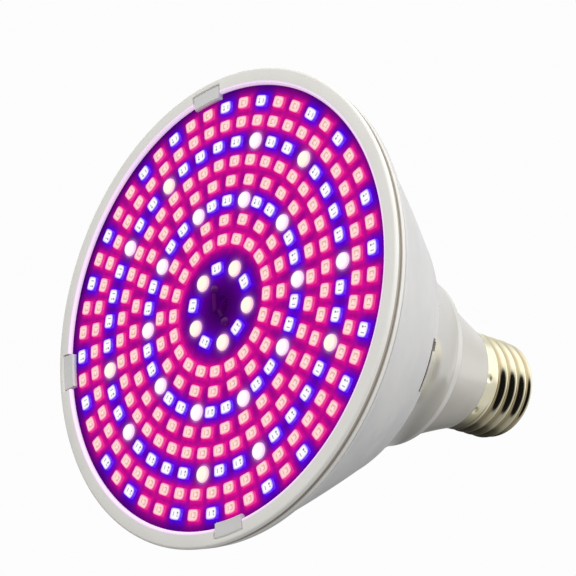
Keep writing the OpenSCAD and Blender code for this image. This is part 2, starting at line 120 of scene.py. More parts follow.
# Screw shell, insulator and contact
COLLAR_R = 13.25
THREAD_MID_R = 12.625
THREAD_WAVE = 0.525
THREAD_Z = 87.2
THREAD_L = 13.6
PITCH = 3.629
SHELL_T = 0.4
LIP_ROUND = 1.1
MOUTH_R = 9.9
CRIMP_Z = 83.9
CRIMP_ANGLES = [-72, -12, 28, 88, 128, 188, 228]
CRIMP_R = 0.8
CRIMP_DEPTH = 0.3
INSULATOR_Z = 105.5
CONTACT_Z = 105.55


# Surfaces

def grid_faces(rows, columns, wrap_rows=False, wrap_columns=True):
    """Quads of a grid numbered row by row: corner, next column, both next, next row."""
    r = np.arange(rows if wrap_rows else rows - 1)[:, None]
    c = np.arange(columns if wrap_columns else columns - 1)[None, :]
    r_next, c_next = (r + 1) % rows, (c + 1) % columns
    quads = [r * columns + c, r * columns + c_next, r_next * columns + c_next,
             r_next * columns + c]
    return np.stack(quads, -1).reshape(-1, 4)


def polar(radius, degrees, height):
    """Point at that radius and angle round the axis, at that height."""
    angle = np.radians(degrees)
    parts = np.broadcast_arrays(radius * np.cos(angle), radius * np.sin(angle), height)
    return np.stack(parts, -1)


def rounded(corners, radii, steps=4):
    """Closed outline whose corners are arcs that touch both edges.

    The arc's centre lies on the corner's bisector, at the radius over the sine of half
    the corner's angle. A radius of 0 keeps the corner as it is, and a point on a straight
    edge becomes a row of points along it.
    """
    corners = np.asarray(corners, float)
    radii = np.broadcast_to(np.asarray(radii, float), len(corners))
    out = []
    for here, before, after, radius in zip(
            corners, np.roll(corners, 1, 0), np.roll(corners, -1, 0), radii):
        if radius == 0:
            out.append(here[None])
            continue
        u = (before - here) / np.linalg.norm(before - here)
        v = (after - here) / np.linalg.norm(after - here)
        half = math.acos(np.clip(u @ v, -1, 1)) / 2
        if half > 1.55:
            out.append(here + np.linspace(-radius, radius, steps + 1)[:, None] * v)
            continue
        centre = here + (u + v) / np.linalg.norm(u + v) * radius / math.sin(half)
        start = here + u * radius / math.tan(half) - centre
        end = here + v * radius / math.tan(half) - centre
        turn = math.pi - 2 * half
        t = np.linspace(0, 1, steps + 1)[:, None]
        out.append(centre + (start * np.sin((1 - t) * turn) + end * np.sin(t * turn))
                   / math.sin(turn))
    return np.concatenate(out)


def turned(sections, degrees):
    """A closed section carried round the axis: (radius, height) pairs, one set a column.

    sections has the shape (corners, 2) or (corners, columns, 2).
    """
    sections = np.asarray(sections, float)
    if sections.ndim == 2:
        sections = np.repeat(sections[:, None], len(degrees), 1)
    points = polar(sections[..., 0], degrees[None, :], sections[..., 1])
    return points.reshape(-1, 3), [grid_faces(len(sections), len(degrees), wrap_rows=True)]


def dome(outline, columns):
    """An outline that starts and ends on the axis, carried round it, with a point at both
    ends and triangles to the nearest rows."""
    degrees = np.arange(columns) * 360.0 / columns
    rim = np.asarray(outline[1:-1], float)
    points = polar(rim[:, :1], degrees[None, :], rim[:, 1:]).reshape(-1, 3)
    low, high = len(points), len(points) + 1
    points = np.vstack([points, [0, 0, outline[0][1]], [0, 0, outline[-1][1]]])
    first = np.arange(columns)
    following = (first + 1) % columns
    last = (len(rim) - 1) * columns
    fans = np.concatenate([
        np.stack([np.full(columns, low), following, first], -1),
        np.stack([np.full(columns, high), last + first, last + following], -1)])
    return points, [grid_faces(len(rim), columns), fans]


def sector_block(section, start, arc, step=0.4):
    """A closed section carried along an arc, with a flat face at each end."""
    degrees = np.linspace(start, start + arc, max(3, int(arc / step) + 1))
    section = np.asarray(section, float)
    points = polar(section[:, :1], degrees[None, :], section[:, 1:]).reshape(-1, 3)
    n, columns = len(section), len(degrees)
    ends = np.stack([np.arange(n)[::-1] * columns + 0, np.arange(n) * columns + columns - 1])
    return points, [grid_faces(n, columns, wrap_rows=True, wrap_columns=False), ends[:, ::-1]]


def joined(shells):
    """Several shells as one set of points and faces."""
    points, faces, start = [], [], 0
    for shell_points, shell_faces in shells:
        points.append(shell_points)
        faces += [f + start for f in shell_faces]
        start += len(shell_points)
    return np.concatenate(points), faces


def columns_with_edges(step, edges):
    """Angles every step degrees, and a close pair at each edge where the section jumps."""
    jump = 0.02
    edges = np.concatenate([np.asarray(edges) - jump, np.asarray(edges) + jump]) % 360
    even = np.arange(0, 360, step)
    gap = np.abs((even[:, None] - edges[None, :] + 180) % 360 - 180).min(1)
    return np.sort(np.concatenate([even[gap > step / 4], edges]))


def within(degrees, middle, half_arc):
    """True where an angle lies within half_arc of one of the middles."""
    off = np.abs((degrees[:, None] - np.asarray(middle)[None, :] + 180) % 360 - 180)
    return off.min(1) < half_arc


def piece(name, shell, material, node, uv=None, colours=None, sharp=35):
    """Makes the mesh, lets it ride on the lamp and stand for its CAD node."""
    points, faces = shell
    mesh = bpy.data.meshes.new(name)
    mesh.vertices.add(len(points))
    mesh.vertices.foreach_set("co", (points * MM).ravel())
    corners = np.concatenate([f.ravel() for f in faces]).astype(np.int32)
    sizes = np.concatenate([np.full(len(f), f.shape[1]) for f in faces])
    mesh.loops.add(len(corners))
    mesh.loops.foreach_set("vertex_index", corners)
    mesh.polygons.add(len(sizes))
    starts = np.concatenate([[0], np.cumsum(sizes)[:-1]]).astype(np.int32)
    mesh.polygons.foreach_set("loop_start", starts)
    mesh.update(calc_edges=True)
    mesh.polygons.foreach_set("use_smooth", np.ones(len(sizes), bool))
    mesh.set_sharp_from_angle(angle=math.radians(sharp))
    if uv is not None:
        layer = mesh.uv_layers.new(name="UVMap")
        layer.uv.foreach_set("vector", uv[corners].ravel().astype(np.float32))
    if colours is not None:
        glow = mesh.color_attributes.new("glow", "FLOAT_COLOR", "POINT")
        rgba = np.concatenate([colours, np.ones((len(colours), 1))], 1)
        glow.data.foreach_set("color", rgba.ravel().astype(np.float32))
    mesh.materials.append(material)
    made = bpy.data.objects.new(name, mesh)
    bpy.context.scene.collection.objects.link(made)
    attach(made, "root")
    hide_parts(node)


# Materials

class Finish:
    """A material's node tree with short calls for what the finishes here need."""

    def __init__(self, name, base, roughness, **settings):
        self.material = bpy.data.materials.new(name)
        self.material.use_nodes = True
        self.tree = self.material.node_tree
        self.shader = self.tree.nodes["Principled BSDF"]
        self.set(Base_Color=(*base, 1), Roughness=roughness, **settings)

    def set(self, **settings):
        for label, value in settings.items():
            self.shader.inputs[label.replace("_", " ")].default_value = value

    def add(self, kind, **settings):
        node = self.tree.nodes.new("ShaderNode" + kind)
        for label, value in settings.items():
            setattr(node, label, value)
        return node

    def link(self, source, target):
        self.tree.links.new(source, target)

    def feed(self, source, label):
        self.link(source, self.shader.inputs[label])

    def place(self):
        """Object coordinates, in metres."""
        return self.add("TexCoord").outputs["Object"]

    def uv(self):
        return self.add("TexCoord").outputs["UV"]

    def noise(self, place, scale, detail=3.0, rough=0.55, stretch=None):
        if stretch:
            mapping = self.add("Mapping")
            mapping.inputs["Scale"].default_value = stretch
            self.link(place, mapping.inputs["Vector"])
            place = mapping.outputs["Vector"]
        node = self.add("TexNoise")
        node.inputs["Scale"].default_value = scale
        node.inputs["Detail"].default_value = detail
        node.inputs["Roughness"].default_value = rough
        self.link(place, node.inputs["Vector"])
        return node.outputs["Fac"]

    def spread(self, source, low, high, to_low=0.0, to_high=1.0, smooth=False):
        """Maps low to high onto to_low to to_high, and holds it at both ends."""
        node = self.add("MapRange")
        if smooth:
            node.interpolation_type = "SMOOTHSTEP"
        values = [low, high, to_low, to_high]
        for label, value in zip(("From Min", "From Max", "To Min", "To Max"), values):
            node.inputs[label].default_value = value
        self.link(source, node.inputs["Value"])
        return node.outputs["Result"]

    def math(self, operation, first, second=None):
        node = self.add("Math", operation=operation)
        for socket, value in zip(node.inputs, (first, second)):
            if value is None:
                continue
            if isinstance(value, (int, float)):
                socket.default_value = value
            else:
                self.link(value, socket)
        return node.outputs[0]

    def mix(self, factor, first, second):
        """Colour from first to second as the factor goes from 0 to 1."""
        node = self.add("Mix", data_type="RGBA")
        self.link(factor, node.inputs["Factor"])
        for label, value in (("A", first), ("B", second)):
            socket = [s for s in node.inputs if s.name == label and s.type == "RGBA"][0]
            if isinstance(value, tuple):
                socket.default_value = (*value, 1)
            else:
                self.link(value, socket)
        return [s for s in node.outputs if s.type == "RGBA"][0]

    def bump(self, source, strength, distance):
        node = self.add("Bump")
        node.inputs["Strength"].default_value = strength
        node.inputs["Distance"].default_value = distance
        self.link(source, node.inputs["Height"])
        self.feed(node.outputs["Normal"], "Normal")

    def split(self, vector):
        node = self.add("SeparateXYZ")
        self.link(vector, node.inputs[0])
        return node.outputs

    def from_axis(self, place):
        """Distance from the lamp's axis, and height."""
        parts = self.split(place)
        square = [self.math("MULTIPLY", parts[k], parts[k]) for k in (0, 1)]
        return self.math("SQRT", self.math("ADD", *square)), parts[2]


def moulded(name, dark, light, tint, roughness, **settings):
    """Moulded plastic: soft cloudy shade, a faint tint, fine grain and uneven gloss."""
    finish = Finish(name, light, roughness[0], **settings)
    place = finish.place()
    cloud = finish.spread(finish.noise(place, 45, 4), 0.32, 0.68)
    shade = finish.mix(cloud, dark, light)
    stain = finish.spread(finish.noise(place, 110, 5, 0.65), 0.5, 0.78, 0, 0.55)
    finish.shade = finish.mix(stain, shade, tint)
    finish.feed(finish.shade, "Base Color")
    gloss = finish.spread(finish.noise(place, 260, 3), 0.3, 0.7, *roughness)
    finish.feed(gloss, "Roughness")
    finish.bump(finish.noise(place, 5200, 2), 0.06, 0.00003)
    finish.place_out = place
    return finish


def ring_finish():
    """Satin white plastic with painted shade in a groove in its wall, and an opening edge
    given a painted pink glow of the LEDs' light."""
    finish = moulded("ring_plastic", (0.82, 0.80, 0.745), (0.87, 0.855, 0.80),
                     (0.80, 0.775, 0.72), (0.34, 0.46))
    radius, height = finish.from_axis(finish.place_out)
    # Painted shade: the groove in the wall is drawn brown, darkest in its two corners.
    front, back = RING_GROOVE[0] * MM, RING_GROOVE[1] * MM
    inside = [finish.spread(height, front - 0.05 * MM, front + 0.1 * MM),
              finish.spread(height, back + 0.05 * MM, back - 0.1 * MM),
              finish.spread(radius, (WALL_R - 0.3) * MM, (WALL_R - 0.1) * MM)]
    groove = finish.math("MULTIPLY", finish.math("MULTIPLY", *inside[:2]), inside[2])
    corner = finish.math("MAXIMUM", finish.spread(height, front + 0.55 * MM, front + 0.2 * MM),
                         finish.spread(height, back - 0.5 * MM, back - 0.15 * MM))
    deep = finish.mix(corner, (0.44, 0.395, 0.335), (0.26, 0.22, 0.18))
    grooved = finish.mix(groove, finish.shade, deep)
    # Painted light: the LEDs' pink glow on the opening's edge, in its colour and as a faint
    # emission.
    lit = finish.spread(radius, (OPENING_R + 1.1) * MM, (OPENING_R + 0.6) * MM)
    finish.feed(finish.mix(lit, grooved, (0.78, 0.6, 0.8)), "Base Color")
    edge = finish.spread(radius, (OPENING_R + 1.0) * MM, (OPENING_R + 0.5) * MM)
    finish.feed(finish.mix(edge, (0, 0, 0), (0.40, 0.33, 0.42)), "Emission Color")
    finish.set(Emission_Strength=1.0)
    return finish.material


def neck_finish():
    """Glossy plastic with painted highlights by its front edge and its step, a flare painted a
    little darker, and painted shade in the crease behind the step and inside the spigot's
    windows."""
    finish = moulded("neck_plastic", (0.58, 0.553, 0.49), (0.66, 0.635, 0.575),
                     (0.6, 0.545, 0.51), (0.12, 0.2), Coat_Weight=0.35, Coat_Roughness=0.05)
    radius, height = finish.from_axis(finish.place_out)

    def strip(low, high, soft):
        """1 between two heights in millimetres, with soft ends."""
        ends = [finish.spread(height, (low - soft) * MM, (low + soft) * MM, smooth=True),
                finish.spread(height, (high + soft) * MM, (high - soft) * MM, smooth=True)]
        return finish.math("MULTIPLY", *ends)

    def reach(none, full):
        """0 at the first radius and 1 at the second, both in millimetres."""
        return finish.spread(radius, none * MM, full * MM)

    def both(first, second):
        return finish.math("MULTIPLY", first, second)

    # Painted highlight: lighter strips by the front edge and the step. Painted shade: the flare
    # between them a little darker.
    light = finish.math("MAXIMUM", strip(NECK_Z, FRONT_STRIP_Z, 0.25),
                        strip(STEP_STRIP_Z, STEP_Z + 0.1, 0.2))
    flare = finish.mix(strip(FRONT_STRIP_Z, STEP_STRIP_Z + 0.1, 0.3), finish.shade,
                       (0.555, 0.53, 0.475))
    painted_strips_and_flare = finish.mix(light, flare, (0.70, 0.68, 0.63))
    # Painted shade in the crease behind the step and in a faint crease beside the front strip.
    front_crease = both(strip(FRONT_STRIP_Z + 0.15, FRONT_STRIP_Z + 0.5, 0.12), 0.35)
    crease = finish.math("MAXIMUM", strip(STEP_Z + 0.2, BEVEL_Z + 1.2, 0.4), front_crease)
    creased = finish.mix(crease, painted_strips_and_flare, (0.47, 0.44, 0.40))
    # Painted shade: near black on the flange's front face and inside the windows, grey on the
    # ears.
    below = SPIGOT_Z - 1
    ear = both(strip(below, REAR_Z - 0.12, 0.01), reach(SPIGOT_R + 0.05, SPIGOT_R + 0.15))
    in_shade = both(strip(below, NECK_Z + 0.02, 0.01), reach(NECK_R - 0.05, NECK_R - 0.1))
    in_window = both(strip(below, NECK_Z + WINDOW_RISE, 0.05),
                     reach(NECK_R - 1.4, NECK_R - 2.0))
    slotted = finish.mix(finish.math("MAXIMUM", in_shade, in_window), creased,
                         (0.06, 0.05, 0.04))
    finish.feed(finish.mix(ear, slotted, (0.42, 0.40, 0.36)), "Base Color")
    return finish.material


def board_finish():
    """White solder mask drawn near black, with a painted glow of the LEDs' light worked out on
    the mesh.
    """
    finish = Finish("lit_board", (0.02, 0.0, 0.03), 0.7, Specular_IOR_Level=0.02)
    glow = finish.add("Attribute", attribute_name="glow").outputs["Color"]
    place = finish.place()
    speck = finish.spread(finish.noise(place, 900, 4, 0.7), 0.3, 0.75, 0.0, 0.3)
    finish.feed(finish.mix(speck, glow, (0.02, 0.0, 0.05)), "Emission Color")
    finish.set(Emission_Strength=1.0)
    finish.bump(finish.noise(place, 1500, 3), 0.1, 0.00005)
    return finish.material


def package_finish(name, core, edge, mark, body):
    """A lit LED package: bright window, softer rim, side, and the dark marks inside it.

    u runs round the ring and v across it, both from 0 to 1 over the package. The rim's
    distance is the fourth root of the sum of both distances' fourth powers, which gives
    the window round corners.
    """
    finish = Finish(name, body, 0.35, Specular_IOR_Level=0.3)
    u, v, _ = finish.split(finish.uv())
    du = finish.math("ABSOLUTE", finish.math("SUBTRACT", u, 0.5))
    dv = finish.math("ABSOLUTE", finish.math("SUBTRACT", v, 0.5))
    corner = finish.math("SQRT", finish.math(
        "ADD", finish.math("POWER", du, 4), finish.math("POWER", dv, 4)))
    rim = finish.math("SQRT", corner)
    lit = finish.mix(finish.spread(rim, 0.36, 0.45, smooth=True), core, edge)
    lit = finish.mix(finish.spread(rim, 0.475, 0.505, smooth=True), lit, mark["side"])

    def bar(low_u, high_u, low_v, high_v, soft=0.03):
        """1 inside a small soft rectangle of the window, 0 outside."""
        sides = [finish.spread(u, low_u - soft, low_u + soft),
                 finish.spread(u, high_u + soft, high_u - soft),
                 finish.spread(v, low_v - soft, low_v + soft),
                 finish.spread(v, high_v + soft, high_v - soft)]
        both = [finish.math("MULTIPLY", *sides[:2]), finish.math("MULTIPLY", *sides[2:])]
        return finish.math("MULTIPLY", *both)

    marks = bar(*mark["bars"][0])
    for place in mark["bars"][1:]:
        marks = finish.math("MAXIMUM", marks, bar(*place))
    lit = finish.mix(finish.math("MULTIPLY", marks, mark["depth"]), lit, mark["colour"])
    chip = bar(0.47, 0.56, 0.43, 0.57, 0.07)
    lit = finish.mix(finish.math("MULTIPLY", chip, mark["chip"]), lit, (1.0, 0.93, 0.9))
    finish.feed(lit, "Emission Color")
    finish.set(Emission_Strength=1.0)
    return finish.material


def flooded_finish(name, core, edge, radius):
    """A white LED that shines so bright that only a round pool of light is left."""
    finish = Finish(name, (0.02, 0.015, 0.02), 0.6, Specular_IOR_Level=0.02)
    u, v, _ = finish.split(finish.uv())
    far = finish.math("SQRT", finish.math(
        "ADD", finish.math("MULTIPLY", u, u), finish.math("MULTIPLY", v, v)))
    finish.feed(finish.mix(finish.spread(far, radius, 1.0, smooth=True), core, edge),
                "Emission Color")
    finish.set(Emission_Strength=1.0)
    return finish.material


def shell_finish():
    """Nickel-plated brass, rolled: fine marks round it, slightly uneven gloss, and painted shade
    that makes the thread's grooves browner.
    """
    finish = Finish("plated_shell", (0.92, 0.86, 0.66), 0.12, Metallic=1.0)
    uv = finish.uv()
    around = finish.noise(uv, 1.0, 4, 0.6, (6, 700, 1))
    cloud = finish.noise(finish.place(), 160, 4, 0.6)
    plated = finish.mix(finish.spread(cloud, 0.35, 0.7), (0.95, 0.90, 0.69),
                        (0.89, 0.81, 0.54))
    # Painted shade: the thread's grooves drawn browner and darker than its crests.
    radius, _ = finish.from_axis(finish.place())
    low = (THREAD_MID_R - THREAD_WAVE) * MM
    groove = finish.spread(radius, low + 0.75 * MM, low + 0.1 * MM, 0.0, 1.0, smooth=True)
    finish.feed(finish.mix(groove, plated, (0.56, 0.47, 0.29)), "Base Color")
    finish.feed(finish.spread(around, 0.3, 0.7, 0.05, 0.15), "Roughness")
    finish.bump(around, 0.04, 0.00003)
    return finish.material


def plain_finish(name, base, roughness, speckle, **settings):
    """An inner part: its colour with a slightly darker cloud and a fine grain."""
    finish = Finish(name, base, roughness, **settings)
    place = finish.place()
    darker = tuple(value * (1 - speckle) for value in base)
    cloud = finish.spread(finish.noise(place, 350, 4), 0.35, 0.65)
    finish.feed(finish.mix(cloud, base, darker), "Base Color")
    finish.bump(finish.noise(place, 3000, 2), 0.15, 0.00005)
    return finish.material


# LEDs

def led_places():
    """Radius, angle and kind of each LED: nine phased rings with their colour plan."""
    radius, angle, kind = [], [], []
    for i, (r, count, phase) in enumerate(zip(LED_RING_R, LED_COUNT, LED_PHASE)):
        count = 10 if i == 0 else count
        j = np.arange(count)
        plan = {
            0: np.where(j % 2 == 0, "warm", "blue"),
            3: np.where(j % 3 == 1, "cool", "blue"),
            6: np.where(j % 8 == 0, "warm", np.where(j % 8 == 5, "cool", "blue")),
            8: np.where((j % 5 == 1) | (j % 5 == 4), "blue", "red"),
        }.get(i, np.full(count, "red"))
        radius.append(np.full(count, r))
        angle.append(phase + j * 360.0 / count)
        kind.append(plan)
    return np.concatenate(radius), np.concatenate(angle), np.concatenate(kind)


led_r, led_deg, led_kind = led_places()


def spread_copies(points, faces, kinds):
    """One copy of a small shell for each LED of these kinds, turned to its angle and moved
    out to its radius, with the shell's own x and y kept for the UV map."""
    chosen = np.isin(led_kind, kinds)
    angle, radius = np.radians(led_deg[chosen]), led_r[chosen]
    x = points[None, :, 0] + radius[:, None]
    y, z = points[None, :, 1], points[None, :, 2]
    cos, sin = np.cos(angle)[:, None], np.sin(angle)[:, None]
    placed = np.stack([x * cos - y * sin, x * sin + y * cos, z + 0 * x], -1).reshape(-1, 3)
    starts = (np.arange(len(radius)) * len(points))[:, None, None]
    every = [(f[None] + starts).reshape(-1, f.shape[1]) for f in faces]
    return placed, every, len(radius)


def package_shell():
    """A package as rings of one rounded rectangle, each with its own inset and height."""
    corner, a = 0.35, np.radians([0, 45, 90])
    quarter = np.stack([np.cos(a), np.sin(a)], -1) * corner
    rings = []
    for inset, z in ((0, LED_BASE_Z), (0, LED_BASE_Z - LED_H + 0.12),
                     (0.1, LED_BASE_Z - LED_H), (0.35, LED_BASE_Z - LED_H),
                     (0.45, LED_BASE_Z - LED_H + 0.15)):
        half = np.array([LED_W / 2 - inset, LED_L / 2 - inset]) - corner
        ring = np.concatenate([
            quarter * sign + half * sign if flip else quarter[::-1] * sign + half * sign
            for sign, flip in (((1, 1), True), ((-1, 1), False), ((-1, -1), True),
                               ((1, -1), False))])
        rings.append(np.column_stack([ring, np.full(len(ring), z)]))
    n = len(rings[0])
    points = np.concatenate(rings)
    sides = grid_faces(len(rings), n)[:, ::-1]
    back = np.arange(n)[None]
    window = (np.arange(n)[::-1] + (len(rings) - 1) * n)[None]
    return points, [sides, np.concatenate([back, window])]


def led_packages(name, node, kinds, material):
    """A package at the place of each LED of these kinds."""
    points, faces = package_shell()
    placed, every, count = spread_copies(points, faces, kinds)
    uv = np.tile(np.stack([points[:, 1] / LED_L + 0.5, points[:, 0] / LED_W + 0.5], -1),
                 (count, 1))
    piece(name, (placed, every), material, node, uv=uv)


def led_domes(name, node, kinds, material):
    """A low dome of light over each package: radius by the cosine, height by the sine."""
    a = np.radians([0, 18, 36, 54, 72])
    curve = np.column_stack([POOL_R * np.cos(a), LED_BASE_Z - POOL_H * np.sin(a)])[::-1]
    outline = [(0, LED_BASE_Z - POOL_H), *curve, (0, LED_BASE_Z)]
    points, faces = dome(outline, 20)
    placed, every, count = spread_copies(points, faces, kinds)
    uv = np.tile(points[:, :2] / POOL_R, (count, 1))
    piece(name, (placed, every), material, node, uv=uv)


def board_glow(points):
    """Painted light on the board: for each kind of LED, a sum over its packages of a bell curve
    of the distance to the package's edge, turned into colour with a soft limit."""
    reach = {"red": (0.6, 1.9), "blue": (0.8, 1.7), "warm": (0.3, 1.0), "cool": (0.3, 1.0)}
    near = {kind: np.zeros(len(points)) for kind in reach}
    wide = {kind: np.zeros(len(points)) for kind in reach}
    for r, deg, kind in zip(led_r, led_deg, led_kind):
        c, s = math.cos(math.radians(deg)), math.sin(math.radians(deg))
        x = points[:, 0] * c + points[:, 1] * s - r
        y = points[:, 1] * c - points[:, 0] * s
        if kind in ("red", "blue"):
            outside = np.hypot(np.maximum(np.abs(x) - LED_W / 2, 0),
                               np.maximum(np.abs(y) - LED_L / 2, 0))
        else:
            outside = np.maximum(np.hypot(x, y) - POOL_R, 0)
        near[kind] += np.exp(-(outside / reach[kind][0]) ** 2)
        wide[kind] += np.exp(-(outside / reach[kind][1]) ** 2)
    red = 1 - np.exp(-0.85 * near["red"] - 0.28 * wide["red"])
    blue = 1 - np.exp(-1.1 * near["blue"] - 0.2 * wide["blue"])
    white = 1 - np.exp(-1.0 * (near["warm"] + near["cool"])
                       - 0.12 * (wide["warm"] + wide["cool"]))
    # A painted violet glow over the whole board, weaker in the middle and towards the rim as
    # painted shade.
    middle = np.exp(-(np.hypot(points[:, 0], points[:, 1]) / 5.5) ** 4)[:, None]
    rim = np.exp(-((BOARD_R - np.hypot(points[:, 0], points[:, 1])) / 1.6) ** 2)[:, None]
    ambient = np.array([0.085, 0.0, 0.23]) * (1 - 0.68 * middle) * (1 - 0.5 * rim)
    glow = (ambient + red[:, None] * np.array([1.04, 0.007, 0.07])
            + blue[:, None] * np.array([0.06, 0.001, 0.72])
            + white[:, None] * np.array([0.6, 0.24, 0.5]))
    glow[:, 0] *= 1 - 0.6 * blue
    return glow


def board_shell():
    """The board as rings of points: fine rings over the face, then its edge, back and
    hole. The face's rings are even from the hole to the rim."""
    radii = np.linspace(WIRE_HOLE_R, BOARD_R, 130)
    section = np.concatenate([
        np.column_stack([radii, np.full(130, BOARD_Z)]),
        [[BOARD_R, BOARD_Z + BOARD_T], [WIRE_HOLE_R, BOARD_Z + BOARD_T]]])
    return turned(section, np.arange(0, 360, 0.6))


# Housings and base

def cone_r(z):
    """Straight taper with a slight bow, deepest half way."""
    t = (z - CONE_Z) / (REAR_Z - CONE_Z)
    return CONE_FRONT_R + (REAR_R - CONE_FRONT_R) * t + 4 * CONE_BOW * t * (1 - t)


def flare_r(z):
    """Neck radius falls to the step's with a power of the height that is left."""
    left = np.clip(1 - (z - NECK_Z) / (STEP_Z - NECK_Z), 0, 1)
    return STEP_R + (NECK_R - STEP_R) * left ** 1.35


def tail_r(z):
    left = np.clip(1 - (z - BEVEL_Z) / TAIL_L, 0, 1)
    return COLLAR_SEAT_R + (TAIL_R - COLLAR_SEAT_R) * left ** 1.08


def ring_wall_r(z):
    """Outer radius of the ring's wall: a straight taper from its edge to its back."""
    return RING_R + (RING_BACK_R - RING_R) * (z - RING_EDGE) / (RING_DEPTH - RING_EDGE)


def ring_shell():
    """The ring's section round the axis, with a groove turned into its wall. In the clips'
    pockets the flange is cut back to the pocket's radius."""
    front, back = RING_GROOVE
    floor_r = [ring_wall_r(z) - RING_GROOVE_DEPTH for z in RING_GROOVE]
    outer = [(RING_R - RING_EDGE * 0.2, 0), (RING_R, RING_EDGE - 0.1),
             (ring_wall_r(front), front), (floor_r[0], front + 0.05),
             (floor_r[1], back - 0.05), (ring_wall_r(back), back),
             (RING_BACK_R, RING_DEPTH), (POCKET_R, RING_DEPTH), (POCKET_R, FLANGE_T)]
    radii = [0.6, 0.12, 0.1, 0.12, 0.12, 0.12, 0.25, 0.1, 0]
    inner = [(OPENING_R, FLANGE_T), (OPENING_R, OPENING_CHAMFER),
             (OPENING_R + OPENING_CHAMFER, 0)]
    pocket = [(POCKET_R, FLANGE_T * 0.75), (POCKET_R, 0.4), (POCKET_R + 0.15, 0)]
    plain = rounded(outer + inner, radii + [0.05, 0.15, 0.2])
    cut = rounded(outer + pocket, radii + [0.05, 0.05, 0.05])
    half = CLIP_ARC / 2 + CLIP_GAP
    degrees = columns_with_edges(0.75, np.concatenate([CLIP_ANGLES - half, CLIP_ANGLES + half]))
    in_pocket = within(degrees, CLIP_ANGLES, half)
    sections = np.where(in_pocket[None, :, None], cut[:, None], plain[:, None])
    return turned(sections, degrees)


def housing_shell():
    """The housing's section round the axis. Its front end is a clip, a gap beside a clip
    or the plain wall, and its back end is lower in the three slots."""
    plain_front = [(BORE_R, 1.5), (BORE_R, 1.38), (BORE_R, 1.26), (BORE_R + 0.06, 1.16),
                   (BORE_R + 0.14, WALL_Z), (WALL_R - 0.12, WALL_Z), (WALL_R, WALL_Z + 0.12)]
    gap_front = [(r, z + 2.5) for r, z in plain_front]
    clip_front = [(BORE_R, 1.45), (NOSE_R + 0.3, 1.45), (NOSE_R, 1.1), (NOSE_R, 0.5),
                  (NOSE_R + 0.4, 0.1), (WALL_R - 0.3, 0.1), (WALL_R, 0.4)]
    back = 14

    def section(front, top):
        rise = np.linspace(0, 1, 26) ** 0.9
        cone = CONE_Z + (top - 0.45 - CONE_Z) * rise
        turn = np.radians([15, 35, 55, 75, 90])
        edge = np.column_stack([cone_r(top - 0.45) - 0.45 * (1 - np.cos(turn)),
                                top - 0.45 + 0.45 * np.sin(turn)])
        inner = np.linspace(SPIGOT_Z, CONE_Z, back)
        return np.concatenate([
            front,
            [(WALL_R, LIP_Z), (LIP_R - 0.12, LIP_Z), (LIP_R, LIP_Z + 0.12),
             (LIP_R, CONE_Z - 0.22), (LIP_R - 0.08, CONE_Z - 0.07),
             (LIP_R - 0.25, CONE_Z)],
            np.column_stack([cone_r(cone), cone]), edge,
            [(REAR_BORE_R + 0.15, top), (REAR_BORE_R, top - 0.15),
             (REAR_BORE_R, SPIGOT_Z), (REAR_BORE_R + 1.6, SPIGOT_Z)],
            np.column_stack([cone_r(inner) - CONE_WALL, inner]),
            [(CONE_FRONT_R - CONE_WALL, LIP_Z), (BORE_R, LIP_Z)]])

    clip_half = CLIP_ARC / 2
    gap_half = clip_half + 2 * CLIP_GAP
    slot_middle = SLOT_ANGLES + SLOT_ARC / 2
    degrees = columns_with_edges(0.75, np.concatenate([
        CLIP_ANGLES - clip_half, CLIP_ANGLES + clip_half, CLIP_ANGLES - gap_half,
        CLIP_ANGLES + gap_half, SLOT_ANGLES, SLOT_ANGLES + SLOT_ARC]))
    clip = within(degrees, CLIP_ANGLES, clip_half)[None, :, None]
    gap = within(degrees, CLIP_ANGLES, gap_half)[None, :, None]
    slot = within(degrees, slot_middle, SLOT_ARC / 2)[None, :, None]
    made = {(kind, top): section(front, top)[:, None]
            for kind, front in (("plain", plain_front), ("gap", gap_front), ("clip", clip_front))
            for top in (REAR_Z, SLOT_Z)}
    rear = {kind: np.where(slot, made[kind, SLOT_Z], made[kind, REAR_Z])
            for kind in ("plain", "gap", "clip")}
    return turned(np.where(clip, rear["clip"], np.where(gap, rear["gap"], rear["plain"])),
                  degrees)


